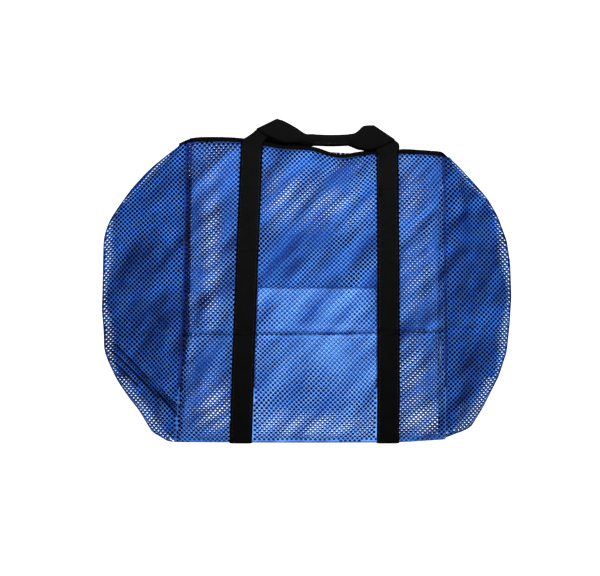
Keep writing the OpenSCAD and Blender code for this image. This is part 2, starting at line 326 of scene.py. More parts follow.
def end_folds(x, z, end, side):
    share = end_share(x, z, end)
    seam = left_seam(x, z) if end < 0 else SEAM
    inner, outer = np.abs(x - seam), np.abs(edge(end, z) - x)
    body = np.clip(inner / 12, 0, 1) * np.clip(outer / 14, 0, 1)
    soft = 2.0 * drift(x, z, 7.0 + end + 2 * side) + 4.5 * bump(inner, 22, 13)
    crease = -2.6 * bump(z, 190 + 0.02 * x, 4) + 1.4 * bump(z, 201 + 0.02 * x, 7)
    if end < 0:
        for a, b, tall, wide in (((-362, 162), (-217, 43), -4.2, 5), ((-340, 172), (-222, 60), 3.6, 8),
                                 ((-350, 130), (-240, 30), 3.0, 8), ((-345, 300), (-250, 215), 3.0, 11),
                                 ((-300, 430), (-240, 330), 3.0, 13), ((-352, 215), (-235, 195), -3.0, 7)):
            soft = soft + 1.6 * tall * ridge(x, z, a, b, wide)
        soft = soft - 3.4 * bump(outer, 15 + 3.5 * np.sin(z / 17), 3.0) * bump(z, 235, 95)
    else:
        for a, b, tall, wide in (((246, 450), (258, 245), 3.6, 12), ((300, 400), (262, 300), 3.0, 10),
                                 ((332, 240), (240, 165), 3.0, 9), ((320, 130), (228, 40), 3.4, 9),
                                 ((335, 290), (280, 225), -3.0, 6)):
            soft = soft + 1.6 * tall * ridge(x, z, a, b, wide)
        soft = soft - 2.6 * bump(outer, 14 + 3 * np.sin(z / 23), 3.0) * bump(z, 260, 80)
    return (soft + crease) * body * np.clip(1.6 * (1 - share), 0, 1)


def end_point(x, z, end, side, out=0.0):
    share = end_share(x, z, end)
    y = side_depth(high(x, z)) * (1 - share) ** 0.588 + end_folds(x, z, end, side)
    return np.stack([x + MIDDLE, side * (np.maximum(y, 0.55) + out), z + 0 * x], -1)


# --- Knitted mesh ---------------------------------------------------------------------------
# Warp-knitted polyester mesh, heat set, with hexagonal holes about 4.5 mm across their flats, in
# staggered rows 4 mm apart. The right side is bright; the wrong side is painted nearly navy, as painted
# shade.

ROW = 4.0                   # mm between rows of holes, and half of the space along a row
HOLE = 2.6                  # mm, from the middle of a hole to its corners
KNIT = 1.2                  # mm, thickness of the knit
PROUD = 0.2                 # mm that the right side stands out from the surface it is laid on
RIM_FACE, RIM_BACK = 0.3, 0.1       # mm by which each side sinks at the rim of a hole
LOW_SEAMS = 95              # mm, height below which the imported seams lie open to the light; above it, plain cells are painted in seam shade


def added(mat, fine, share, slow):
    """A fine pattern times a share, on top of a slow one."""
    both = node(mat, "ShaderNodeMath", {"operation": "MULTIPLY_ADD", 1: share})
    mat.node_tree.links.new(fine, both.inputs[0])
    mat.node_tree.links.new(slow, both.inputs[2])
    return both.outputs[0]


def surface_of(mat, shader, colour, height, strength, depth, rough, shine=None):
    """Gives a shader its colour, a bump with its depth in metres, its roughness and its shine."""
    relief = node(mat, "ShaderNodeBump", {"Strength": strength, "Distance": depth}, Height=height)
    mat.node_tree.links.new(colour, shader.inputs["Base Color"])
    mat.node_tree.links.new(relief.outputs["Normal"], shader.inputs["Normal"])
    shader.inputs["Roughness"].default_value = rough
    if shine is not None:
        shader.inputs["Specular IOR Level"].default_value = shine


def knit_colour(name, deep, bright, rough, spread=0.26):
    """Bright filament polyester: fine ribs of yarn, a soft sheen, and broad slanting bands of painted
    light and shade for the folds where the cloth is pulled. A smaller spread makes them stronger."""
    mat, shader = cloth_material(name)
    where = node(mat, "ShaderNodeTexCoord").outputs["Object"]
    # painted light and shade: slanting noise bands that stand for the folds
    slant = node(mat, "ShaderNodeMapping", {"vector_type": "TEXTURE", "Rotation": (0, math.radians(42), 0),
                                            "Scale": (1, 1, 4.0)}, Vector=where)
    slow = node(mat, "ShaderNodeTexNoise", {"Scale": 38.0, "Detail": 1.0, "Roughness": 0.5},
                Vector=slant.outputs["Vector"])
    yarn = node(mat, "ShaderNodeTexNoise", {"Scale": 900.0, "Detail": 2.0, "Roughness": 0.7}, Vector=where)
    tone = node(mat, "ShaderNodeMapRange", {"From Min": 0.7 - spread, "From Max": 0.7 + spread},
                Value=added(mat, yarn.outputs["Fac"], 0.4, slow.outputs["Fac"]))
    # filaments run along the strands, about 0.5 mm from one to the next
    thread = node(mat, "ShaderNodeTexWave", {"bands_direction": "DIAGONAL", "Scale": 700.0,
                                             "Distortion": 2.0, "Detail": 1.0}, Vector=where)
    surface_of(mat, shader, mixed_colour(mat, deep, bright, tone.outputs["Result"]),
               thread.outputs["Fac"], 0.35, 0.0002, rough, 0.22)
    return mat


knit_face = knit_colour("polyester_knit_blue_right_side", "#0A2E6E", "#4A7ECA", 0.5)
# the wrong side is painted nearly navy: painted shade of the bag's dark inside
knit_back_painted_shade = knit_colour("polyester_knit_blue_wrong_side_painted_shade", "#010514", "#1C4EA4", 0.8, 0.15)
# the end panels' copy is painted darker: painted shade where they turn away from the light
knit_ends_painted_shade = knit_colour("polyester_knit_blue_ends_painted_shade", "#052A68", "#2E6EC6", 0.5)
# a darker copy for packed seams, turned edges and pinched folds: painted shade
knit_seams_folds_painted_shade = knit_colour("polyester_knit_blue_seams_folds_painted_shade", "#020C2E", "#08266A", 0.7)
# the pocket's copy is painted lighter than the panel's knit: painted light
knit_pocket_painted_light = knit_colour("polyester_knit_blue_pocket_painted_light", "#2E5EAE", "#6E9CDC", 0.5)
# the end panels' wrong side is painted near black: painted shade inside the bag
knit_ends_wrong_side_painted_shade = knit_colour("polyester_knit_ends_wrong_side_painted_shade", "#00020E", "#020820", 0.9)

HEX = np.radians([30, 90, 150, 210, 270, 330])


def slack(x, z, seed):
    """The knit's rows wander a little, as the cloth is pulled about."""
    return x + 3.2 * drift(x, z, seed), z + 3.2 * drift(x, z, seed + 2.6)


def knit(name, surface, inside, bound, reach, flip, covered=None, lay=None, tight=None, face=None,
         back=None, shaded=None):
    """Builds a sheet of knitted mesh. surface maps flat positions to points, inside tells which
    flat positions belong, bound brings a position to the nearest edge, lay shifts the holes,
    tight says where they are drawn closer, face and back give the two sides' materials, and
    shaded tells which holes' rings take the darker seam and fold copy, as painted shade."""
    i0, i1, j0, j1 = [int(v // ROW) for v in reach]
    i, j = np.meshgrid(np.arange(i0, i1 + 1), np.arange(j0, j1 + 1), indexing="ij")
    keep = (i + j) % 2 == 0
    ci, cj = i[keep], j[keep]
    move = lay or (lambda x, z: slack(np.asarray(x, float), np.asarray(z, float), 3.0))
    around = np.array([(1, 0), (0, 1), (-1, 0), (0, -1)])
    corner_i, corner_j = ci[:, None] + around[:, 0], cj[:, None] + around[:, 1]
    cx, cz = move(ci * ROW, cj * ROW)
    kx, kz = move(corner_i * ROW, corner_j * ROW)
    own = inside(cx, cz)
    clear = own.copy()
    for dx, dz in ((1, 0), (-1, 0), (0, 1), (0, -1)):
        clear &= inside(cx + dx, cz + dz)
    touching = own | inside(kx, kz).any(1)
    if covered is not None:
        clear &= ~covered(cx, cz)
    ci, cj, corner_i, corner_j = ci[touching], cj[touching], corner_i[touching], corner_j[touching]
    clear = clear[touching]
    keys, which = np.unique((corner_i + 4000) * 10000 + corner_j + 4000, return_inverse=True)
    corners = which.reshape(corner_i.shape)
    ax, az = move((keys // 10000 - 4000) * ROW, (keys % 10000 - 4000) * ROW)
    open_x, open_z = cx[touching][clear], cz[touching][clear]
    hole = HOLE if tight is None else HOLE - tight(open_x, open_z)[:, None]
    hx, hz = move(ci[clear][:, None] * ROW + hole * np.cos(HEX),
                  cj[clear][:, None] * ROW + hole * np.sin(HEX))
    x, z = bound(np.concatenate([ax, hx.ravel()]), np.concatenate([az, hz.ravel()]))
    rim = np.concatenate([np.zeros(len(ax)), np.ones(hx.size)])
    p = surface(x, z)
    step = 0.6
    du = surface(x + step, z) - surface(x - step, z)
    dv = surface(x, z + step) - surface(x, z - step)
    n = np.cross(du, dv) * flip
    n /= np.maximum(np.linalg.norm(n, axis=1, keepdims=True), 1e-9)
    verts = np.concatenate([p + n * (PROUD - RIM_FACE * rim)[:, None],
                            p - n * (KNIT - PROUD - RIM_BACK * rim)[:, None]])
    count = len(x)
    e4, n4, w4, s4 = corners[clear].T
    h = (len(ax) + np.arange(clear.sum())[:, None] * 6 + np.arange(6)).T
    ring = [[e4, h[0], h[5]], [e4, n4, h[1], h[0]], [n4, w4, h[2], h[1]], [w4, h[3], h[2]],
            [w4, s4, h[4], h[3]], [s4, e4, h[5], h[4]]]
    plain = [corners[~clear].T]
    # slot 2 paints shade: plain cells above LOW_SEAMS and the rings of shaded holes take the darker copy
    packed_painted_shade = cz[touching][~clear] > LOW_SEAMS
    rings_painted_shade = np.zeros(clear.sum(), bool)
    if shaded is not None:
        rings_painted_shade = shaded(open_x, open_z)
    faces, slots = [], []
    for side, slot in ((1, 0), (-1, 1)):
        for f in ring + plain:
            dark = packed_painted_shade if f is plain[0] else rings_painted_shade
            f = np.stack(list(f), 1)
            if slot:
                f = f[:, ::-1] + count
            if flip < 0:
                f = f[:, ::-1]
            faces.append(f)
            slots.append(np.where(dark, 2, slot))
    # the outer border, where an edge of the right side has no neighbour
    border = np.concatenate([np.stack([np.stack(list(f), 1)[:, k],
                                       np.stack(list(f), 1)[:, (k + 1) % len(f)]], 1)
                             for f in ring + plain for k in range(len(f))])
    there = set(map(tuple, border.tolist()))
    lone = np.array([(a, b) for a, b in there if (b, a) not in there and min(a, b) < len(ax)])
    walls = [(h[k], h[(k + 1) % 6]) for k in range(6)] + [(lone[:, 1], lone[:, 0])]
    for a, b in walls:
        f = np.stack([a, b, b + count, a + count], 1)
        faces.append(f if flip > 0 else f[:, ::-1])
        slots.append(np.full(len(f), 0))
    made = mesh_object(name, verts, faces, [face or knit_face, back or knit_back_painted_shade, knit_seams_folds_painted_shade],
                       np.concatenate(slots))
    clean = bmesh.new()
    clean.from_mesh(made.data)
    bmesh.ops.remove_doubles(clean, verts=clean.verts, dist=2e-5)
    clean.to_mesh(made.data)
    clean.free()
    return made


def join(name, *parts):
    """One object from several."""
    bpy.ops.object.select_all(action="DESELECT")
    for part in parts:
        part.select_set(True)
    bpy.context.view_layer.objects.active = parts[0]
    bpy.ops.object.join()
    parts[0].name = parts[0].data.name = name
    return parts[0]


# --- Front and rear panels ------------------------------------------------------------------
# Two pieces of the mesh, hung from the zipper and held by the straps. Their rows of holes
# drift against each other, so that some of the bag looks open and some of it dark.

def bottom(x):
    return np.interp(x, [142, 223], [2, 7])


def in_panel(x, z):
    return (x > left_seam(x, z)) & (x < SEAM) & (z > bottom(x)) & (z < mouth(x) - collar(x))


def to_panel(x, z):
    z = np.clip(z, bottom(x), mouth(x) - collar(x))
    return np.clip(x, left_seam(x, z), SEAM), z


def under_strap(x, z):
    t = high(x, z)
    return np.minimum(np.abs(x - strap_x(-1, t)), np.abs(x - strap_x(1, t))) < 15


# holes beside the left seam get rings of the darker copy: a painted shade band
front_panel = knit("front_panel_mesh", lambda x, z: panel_point(x, z, -1), in_panel, to_panel,
                   (-250, 232, -4, 528), 1, under_strap,
                   shaded=lambda x, z: (x < left_seam(x, z) + 5 + 7 * np.clip((z - 60) / 160, 0, 1)))

# How clear the view through both layers is, at spots (x, z) with a width and height in mm
OPEN_SPOTS = (((30, 415), 75, 46, 0.33), ((-60, 420), 36, 60, 0.27), ((60, 480), 50, 22, 0.2),
              ((-178, 330), 19, 150, 0.37), ((-172, 60), 34, 44, 0.4), ((-215, 330), 9, 200, 0.26),
              ((165, 430), 24, 90, 0.24), ((165, 250), 26, 90, 0.2), ((196, 300), 22, 60, 0.15),
              ((165, 110), 34, 50, 0.3), ((190, 40), 44, 30, 0.42), ((0, 26), 130, 24, 0.4))


def shut(x, z):
    """1 where a layer's strands lie behind the holes in front, 0 where its holes do."""
    clear = sum(w * np.exp(-(((x - a[0]) / sx) ** 2 + ((z - a[1]) / sz) ** 2)) for a, sx, sz, w in OPEN_SPOTS)
    streak = 0.5 + 0.5 * np.sin(x * 0.16 - z * 0.17 + 3 * drift(x, z, 5.0))
    clear = clear * (0.62 + 0.76 * streak)
    for end in (-1, 1):
        outside = x < left_seam(x, z) if end < 0 else x > SEAM
        rim = np.abs(edge(end, z) - x)
        wide = np.where(z < 110, 20.0, 12.0 + 5.0 * np.sin(z / 23.0))
        strip = np.clip(0.75 * bump(rim, 0, wide), 0, 0.52) * outside
        clear = clear * (1 - outside) + strip
    return 1 - np.clip(clear, 0, 1)


def behind(near, far):
    """Moves a hole to where it falls behind the front layer's rows, given both layers' depths."""
    def move(x, z):
        x, z = slack(np.asarray(x, float), np.asarray(z, float), 3.0)
        k = (EYE_FAR + far(x, z)) / (EYE_FAR - near(x, z))
        a = EYE_X - MIDDLE
        inside = in_panel(x, z)
        down = np.where(inside, drop_at(x, z, -1), 0)
        far_x, far_z = a + (x - a) * k, EYE_Z + (z - down - EYE_Z) * k + ROW * shut(x, z)
        return far_x, far_z + np.where(inside, drop_at(far_x, far_z, 1), 0)
    return move


def behind_panel(extra=0.0):
    return behind(lambda x, z: panel_y(x, z, -1), lambda x, z: panel_y(x, z, 1) + extra)


rear_panel = knit("rear_panel_mesh", lambda x, z: panel_point(x, z, 1), in_panel, to_panel,
                  (-250, 232, -12, 528), -1, under_strap, behind_panel(), shut)
for piece, cad in ((front_panel, "front_panel"), (rear_panel, "rear_panel")):
    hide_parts(cad)
    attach(piece, "bag")

# --- End panels ---------------------------------------------------------------------------------
# One piece of mesh at each end, as deep as the bag is when full. Empty, it folds outwards along
# its middle into a long creased edge.

END_SPAN = {-1: (2, 514), 1: (7, 491)}      # mm, lowest and highest point of each end panel


def crushed_fold_painted_shade(x, z):
    """Where the left end is pinched into two sharp slanting folds; the rings of holes there are painted dark,
    as painted shade.
    """
    return ((ridge(x, z, (-361, 166), (-222, 38), 3.4) > 0.45)
            | (ridge(x, z, (-345, 168), (-222, 54), 2.2) > 0.5)
            | (ridge(x, z, (-357, 150), (-300, 96), 2.2) > 0.5))


def end_knit(end, side):
    """The front (-1) or rear (1) half of an end panel."""
    low, top = END_SPAN[end]

    def inside(x, z):
        seam = left_seam(x, z) if end < 0 else SEAM
        return (end * (x - seam) > 0) & (end * (edge(end, z) - x) > 0) & (z > low) & (z < top)

    def bound(x, z):
        z = np.clip(z, low, top)
        a, b = (edge(-1, z), left_seam(x, z)) if end < 0 else (SEAM + 0 * z, edge(1, z))
        return np.clip(x, np.minimum(a, b), np.maximum(a, b)), z

    reach = (-380, -216, -12, 528) if end < 0 else (212, 352, -12, 508)
    lay = None if side < 0 else behind(lambda x, z: -end_point(x, z, end, -1)[..., 1],
                                       lambda x, z: end_point(x, z, end, 1)[..., 1])
    tight = None if side < 0 else lambda x, z: 1.25 * shut(x, z)
    return knit("half", lambda x, z: end_point(x, z, end, side), inside, bound, reach, -side,
                lay=lay, tight=tight, face=knit_ends_painted_shade, back=knit_ends_wrong_side_painted_shade,
                shaded=crushed_fold_painted_shade if end < 0 and side < 0 else None)


def ring_faces(n, m):
    """The faces of a tube made of n rings of m points each."""
    i, j = np.meshgrid(np.arange(n - 1), np.arange(m), indexing="ij")
    at, nxt = (i * m + j).ravel(), (i * m + (j + 1) % m).ravel()
    return np.stack([at, nxt, nxt + m, at + m], 1)


def fold_edge(end):
    """The turned edge of the end fold, where the knit doubles back on itself."""
    low, top = END_SPAN[end]
    z = np.linspace(low + 0.5, top - 0.5, 260 if end < 0 else 240)
    x = edge(end, z) + 0.1 * end
    turn = np.linspace(-np.pi / 2, np.pi / 2, 7)
    across = [(end * 0.75 * np.cos(a), 0.85 * np.sin(a)) for a in turn]
    across += [(end * 0.2 * np.cos(a), 0.5 * np.sin(a)) for a in turn[::-1]]
    rings = np.array([[(px + MIDDLE + dx, dy, pz) for dx, dy in across] for px, pz in zip(x, z)])
    f = ring_faces(*rings.shape[:2])
    f = f if end > 0 else f[:, ::-1]
    # the turned edge is painted dark with the seam and fold copy: painted shade
    return mesh_object("edge", rings.reshape(-1, 3), [f], [knit_seams_folds_painted_shade])


for end, cad, name, wide in ((-1, "left_end_panel", "left_end_mesh", 0.29),
                             (1, "right_end_panel", "right_end_mesh", 0.235)):
    piece = join(name, end_knit(end, -1), end_knit(end, 1), fold_edge(end))
    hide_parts(cad)
    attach(piece, "bag")

# --- Base panel ---------------------------------------------------------------------------------
# The strip of mesh under the bag, sewn to the panels along both sides and laid over the straps.
# It reaches from seam to seam, and narrows towards both ends.

BASE_LEFT = -238.0          # mm, the left end of the base


def base_half(x):
    return panel_y(x, 4 + 0 * x, -1, 0.0) - 1.0


def base_point(x, y):
    return np.stack([x + MIDDLE, y + 0 * x, bottom(x) + 0.5 + 0 * y], -1)


def in_base(x, y):
    return (np.abs(y) < base_half(x)) & (x > BASE_LEFT) & (x < SEAM)


def to_base(x, y):
    x = np.clip(x, BASE_LEFT, SEAM)
    return x, np.clip(y, -base_half(x), base_half(x))


base_panel = knit("base_panel_mesh", base_point, in_base, to_base, (-250, 232, -56, 56), -1)
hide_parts("base_panel")
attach(base_panel, "bag")

# --- Patch pockets ----------------------------------------------------------------------------
# A flat pocket of the same mesh on each face, caught under the straps at its sides and sewn to
# the base, and open along its top edge.

def pocket(name, cad, side, top):
    gap = 19.4              # mm, from the middle of a strap to the pocket's edge
    out = 1.75              # mm, how far the pocket stands out from its panel

    def sides(x, z):
        t = high(x, z)
        return strap_x(-1, t) + gap, strap_x(1, t) - gap

    def inside(x, z):
        a, b = sides(x, z)
        return (x > a) & (x < b) & (z > 4) & (z < top)

    def bound(x, z):
        z = np.clip(z, 4, top)
        a, b = sides(x, z)
        return np.clip(x, a, b), z

    rear = behind_panel(out)

    def lay(x, z):
        x, z = np.asarray(x, float), np.asarray(z, float)
        low = np.clip((z - 40) / 60, 0, 1)
        if side > 0:
            x, z = rear(x, z)
            return x, z + ROW * low
        x, z = slack(x, z, 3.0)
        return x + 1.1 * drift(x, z, 8.0) * low, z + (2.5 + 1.5 * drift(x, z, 6.0)) * low

    piece = knit(name, lambda x, z: panel_point(x, z, side, out), inside, bound,
                 (-120, 120, -12, top + 12), -side, lay=lay, face=knit_pocket_painted_light)
    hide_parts(cad)
    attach(piece, "bag")
    return piece


POCKET_TOPS = {side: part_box(cad)[1].z * 1000 for side, cad in ((-1, "front_pocket"), (1, "rear_pocket"))}
pocket("front_pocket_mesh", "front_pocket", -1, POCKET_TOPS[-1])
pocket("rear_pocket_mesh", "rear_pocket", 1, POCKET_TOPS[1])

# --- Webbing straps ------------------------------------------------------------------------------
# 38 mm polypropylene webbing, 1.6 mm thick, woven with a cross rib every 1.9 mm. Each runs from
# the mouth down its panel and under the base, and is stitched along both edges.

def webbing_colour():
    """Solution-dyed black polypropylene: dull, with a faint shine on the crowns of its ribs."""
    mat, shader = cloth_material("polypropylene_webbing_black")
    where = node(mat, "ShaderNodeTexCoord").outputs["Object"]
    slow = node(mat, "ShaderNodeTexNoise", {"Scale": 34.0, "Detail": 4.0, "Roughness": 0.65}, Vector=where)
    yarn = node(mat, "ShaderNodeTexVoronoi", {"Scale": 1500.0}, Vector=where).outputs["Distance"]
    tone = node(mat, "ShaderNodeMapRange", {"From Min": 0.35, "From Max": 0.95},
                Value=added(mat, yarn, 0.5, slow.outputs["Fac"]))
    surface_of(mat, shader, mixed_colour(mat, "#020202", "#070707", tone.outputs["Result"]),
               yarn, 0.4, 0.00015, 0.6, 0.04)
    return mat


web_black = webbing_colour()
RIB = 1.9                   # mm between ribs
WEB = 1.6                   # mm thick
HALF_WEB = 19.0             # mm, half the webbing's width
STRAP_OUT = 1.15            # mm from a panel's surface out to the middle of the strap on it


def spline(points, count):
    """Points spread evenly along a smooth curve through rows of points."""
    p = np.asarray(points, float)
    p = np.concatenate([2 * p[:1] - p[1:2], p, 2 * p[-1:] - p[-2:-1]])
    fine = []
    for k in range(1, len(p) - 2):
        a, b, c, d = p[k - 1:k + 3]
        for s in np.linspace(0, 1, 16, endpoint=False):
            fine.append(0.5 * (2 * b + (c - a) * s + (2 * a - 5 * b + 4 * c - d) * s ** 2
                               + (3 * b - a - 3 * c + d) * s ** 3))
    fine.append(p[-2])
    return even(np.array(fine), count)


def even(rows, step):
    """Rows of a grid resampled about step mm apart along its middle."""
    mid = rows.mean(axis=1)
    run = np.concatenate([[0], np.cumsum(np.linalg.norm(np.diff(mid, axis=0), axis=1))])
    at = np.linspace(0, run[-1], max(int(round(run[-1] / step)), 4) + 1)
    flat = rows.reshape(len(rows), -1)
    return np.stack([np.interp(at, run, flat[:, k]) for k in range(flat.shape[1])], 1).reshape(
        len(at), *rows.shape[1:])


def band(name, grid, thick, mat, rib=0.13, pitch=RIB, flip=1):
    """A closed woven band between two faces of a grid of points, with ribs across it."""
    grid = np.asarray(grid, float)
    n, m = grid.shape[:2]
    along = np.gradient(grid, axis=0)
    across = np.gradient(grid, axis=1)
    normal = np.cross(along, across)
    normal *= flip / np.maximum(np.linalg.norm(normal, axis=2, keepdims=True), 1e-9)
    run = np.concatenate([[0], np.cumsum(np.linalg.norm(np.diff(grid.mean(1), axis=0), axis=1))])
    q = np.abs(np.linspace(-1, 1, m))
    body = thick / 2 * (1 - 0.55 * q ** 8)
    wave = rib * np.cos(2 * np.pi * run / pitch)[:, None] * (1 - q ** 6)[None]
    outer = grid + normal * (body[None] + wave)[..., None]
    inner = grid - normal * (body[None] - wave)[..., None]
    verts = np.concatenate([outer.reshape(-1, 3), inner.reshape(-1, 3)])
    i, j = np.meshgrid(np.arange(n - 1), np.arange(m - 1), indexing="ij")
    a = (i * m + j).ravel()
    top = np.stack([a, a + m, a + m + 1, a + 1], 1)
    k = n * m
    low = top[:, ::-1] + k
    left = np.arange(n - 1) * m
    right = left + m - 1
    first, last = np.arange(m - 1), (n - 1) * m + np.arange(m - 1)
    rims = [np.stack([left, left + k, left + m + k, left + m], 1),
            np.stack([right, right + m, right + m + k, right + k], 1),
            np.stack([first, first + 1, first + 1 + k, first + k], 1),
            np.stack([last, last + k, last + 1 + k, last + 1], 1)]
    faces = [top, low] + rims
    if flip < 0:
        faces = [f[:, ::-1] for f in faces]
    return mesh_object(name, verts, faces, [mat])


def strap_grid(side, which):
    """Middle surface of a strap, from near the bag's middle line out, round and up the panel."""
    q = np.linspace(-HALF_WEB, HALF_WEB, 11)
    rows = []
    x0 = strap_x(which, 0) + q
    d = panel_y(x0, 6 + 0 * x0, side) + STRAP_OUT
    for s in np.linspace(0.01, 1, 8):
        rows.append(np.stack([x0 + MIDDLE, side * s * (d - 4), 0.9 + 0 * q], -1))
    for a in np.linspace(0, np.pi / 2, 6)[1:-1]:
        rows.append(np.stack([x0 + MIDDLE, side * (d - 4 + 4 * np.sin(a)),
                              4.9 - 4 * np.cos(a) + 0 * q], -1))
    top = mouth(strap_x(which, 1.0)) - 8.5
    for z in np.linspace(5.5, top, 300):
        x = strap_x(which, high(strap_x(which, 0.5), z)) + q
        creases = bump(z, 187, 2.2) + 0.7 * bump(z, 437, 2.2) + 0.5 * bump(z, 330, 2.4)
        rows.append(panel_point(x, z + 0 * x, side, STRAP_OUT + 0.9 * creases))
    return even(np.array(rows), RIB / 4)


def tube(name, path, radius, mat, sides=6):
    """A round tube with closed ends along a row of points, with a radius for each of them."""
    path = np.asarray(path, float)
    n = len(path)
    ahead = np.gradient(path, axis=0)
    ahead /= np.linalg.norm(ahead, axis=1, keepdims=True)
    up = np.where(np.abs(ahead[:, 2:]) > 0.9, [[0, 1.0, 0]], [[0, 0, 1.0]])
    a = np.cross(ahead, up)
    a /= np.linalg.norm(a, axis=1, keepdims=True)
    b = np.cross(a, ahead)
    turn = np.arange(sides) * 2 * np.pi / sides
    r = np.broadcast_to(np.asarray(radius, float), (n,))[:, None, None]
    ring = path[:, None] + r * (a[:, None] * np.cos(turn)[None, :, None]
                                + b[:, None] * np.sin(turn)[None, :, None])
    faces = [ring_faces(n, sides)[:, [0, 3, 2, 1]], np.arange(sides)[None],
             (np.arange(sides)[::-1] + (n - 1) * sides)[None]]
    return mesh_object(name, ring.reshape(-1, 3), faces, [mat])


def stitches(name, line, mat, pitch=3.4, length=2.3, radius=0.3):
    """Lockstitches of thread along a line, each a short bead that dives into the cloth."""
    line = np.asarray(line, float)
    run = np.concatenate([[0], np.cumsum(np.linalg.norm(np.diff(line, axis=0), axis=1))])
    starts = np.arange(0.6, run[-1] - length, pitch)
    s = np.linspace(0, 1, 5)
    at = starts[:, None] + s[None] * length
    p = np.stack([np.interp(at, run, line[:, k]) for k in range(3)], -1)
    ahead = p[:, -1] - p[:, 0]
    ahead /= np.linalg.norm(ahead, axis=1, keepdims=True)
    side = np.cross(ahead, [0, 1.0, 0])
    side /= np.maximum(np.linalg.norm(side, axis=1, keepdims=True), 1e-9)
    out = np.cross(side, ahead)
    fat = radius * np.array([0.35, 0.85, 1, 0.85, 0.35])
    turn = np.arange(5) * 2 * np.pi / 5
    ring = (p[:, :, None] + fat[None, :, None, None] * (
        side[:, None, None] * np.cos(turn)[None, None, :, None]
        + out[:, None, None] * np.sin(turn)[None, None, :, None]))
    count = len(starts)
    k, i, j = np.meshgrid(np.arange(count), np.arange(4), np.arange(5), indexing="ij")
    at, nxt = (k * 25 + i * 5 + j).ravel(), (k * 25 + i * 5 + (j + 1) % 5).ravel()
    caps = np.arange(count)[:, None] * 25
    faces = [np.stack([at, nxt, nxt + 5, at + 5], 1), caps + np.array([[4, 3, 2, 1, 0]]),
             caps + 20 + np.array([[0, 1, 2, 3, 4]])]
    return mesh_object(name, ring.reshape(-1, 3), faces, [mat])


def thread_colour(name, deep, bright):
    """Twisted polyester sewing thread."""
    mat, shader = cloth_material(name)
    where = node(mat, "ShaderNodeTexCoord").outputs["Object"]
    twist = node(mat, "ShaderNodeTexWave", {"bands_direction": "DIAGONAL", "Scale": 1200.0,
                                            "Distortion": 1.0}, Vector=where).outputs["Fac"]
    surface_of(mat, shader, mixed_colour(mat, deep, bright, twist), twist, 0.3, 0.0001, 0.45)
    return mat


web_thread = thread_colour("polyester_thread_black", "#0A0A0B", "#161618")

for side, face in ((-1, "front"), (1, "rear")):
    for which, hand in ((-1, "left"), (1, "right")):
        strap = band(f"{face}_{hand}_strap_webbing", strap_grid(side, which), WEB, web_black,
                     flip=side)
        for edge_at in (1, 9):
            line = strap_grid(side, which)[:, edge_at]
            line = line[line[:, 2] > 9] + np.array([0, side * (WEB / 2 + 0.12), 0])
            seam = stitches(f"{face}_{hand}_strap_stitching_{edge_at}", line, web_thread)
            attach(seam, "bag")
        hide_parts(f"{face}_{hand}_strap")
        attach(strap, "bag")

# --- Seam bindings ------------------------------------------------------------------------------
# A woven tape folded over the raw edges of each end seam, inside the bag, and across the base.

def tape_colour(name, deep, bright, scale):
    """Plain-woven polyester tape. A higher scale makes its weave finer."""
    mat, shader = cloth_material(name)
    where = node(mat, "ShaderNodeTexCoord").outputs["Object"]
    across, down = [node(mat, "ShaderNodeTexWave", {"bands_direction": way, "Scale": scale,
                                                    "Distortion": 0.6}, Vector=where).outputs["Fac"]
                    for way in "XZ"]
    weave = node(mat, "ShaderNodeMath", {"operation": "MULTIPLY"})
    mat.node_tree.links.new(across, weave.inputs[0])
    mat.node_tree.links.new(down, weave.inputs[1])
    slow = node(mat, "ShaderNodeTexNoise", {"Scale": 40.0, "Detail": 3.0}, Vector=where)
    both = added(mat, weave.outputs[0], 0.5, slow.outputs["Fac"])
    surface_of(mat, shader, mixed_colour(mat, deep, bright, both), weave.outputs[0],
               0.4, 0.00012, 0.7, 0.04)
    return mat


binding_black = tape_colour("woven_binding_black", "#060608", "#121214", 320.0)


def binding(end):
    """The strips of one end's binding: down the front seam, down the rear one, and across the base."""
    strips = []
    for face in (-1, 1):
        rows = []
        for z in np.arange(14, 455 if end < 0 else 436, 3.0):
            x = float(left_seam(0, z)) if end < 0 else SEAM
            y = float(side_depth(high(x, z)))
            rows.append([[x + MIDDLE - end * (1.2 + 0.55 * r), face * (y - 2.4 - 0.83 * r), z]
                         for r in np.linspace(0, 8, 5)])
        strips.append(band("strip", rows, 1.3, binding_black, rib=0.04, pitch=3.1, flip=face * end))
    rows = [[[(-236 if end < 0 else 219) + MIDDLE - end * 1.0, y, 2.4 + bottom(end * 219) + r]
             for r in np.linspace(0, 8, 5)] for y in np.arange(-30, 30.1, 3.0)]
    strips.append(band("strip", rows, 1.3, binding_black, rib=0.04, pitch=3.1, flip=end))
    return strips


for end, hand in ((-1, "left"), (1, "right")):
    piece = join(f"{hand}_seam_binding_tape", *binding(end))
    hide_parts(f"{hand}_seam_binding")
    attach(piece, "bag")

# --- Zipper ----------------------------------------------------------------------------------------
# A coil zipper along the mouth: two woven tapes sewn inside the panels' top edges, a nylon coil
# on each, and a moulded stop at each end. The tapes' tails turn down over the end panels.

ZIP_LEFT, ZIP_RIGHT = -216.0, 218.0      # mm, the ends of the coil
COIL_PITCH = 2.0                         # mm from loop to loop


def zip_line(x):
    return mouth(x) - sag(x, -1)


def tape_rows(side):
    profile = np.array([(2.2, 0), (3.5, 0), (4.8, -0.05), (5.8, -0.8), (6.2, -2.2), (6.2, -4), (6.2, -6.3),
                        (6.2, -8.6)])
    rows = []
    for x in np.arange(-235, 236.1, 0.55):
        turn = max(0.0, (-212 - x) / 20, (x - 218) / 18)
        z = zip_line(np.clip(x, -212, 218)) - (16.0 if x > 0 else 7.5) * turn ** 1.3
        narrow = 1 - 0.72 * min(turn, 1) ** 0.7
        rows.append([[x + MIDDLE, side * y * narrow, z + dz] for y, dz in profile])
    return rows


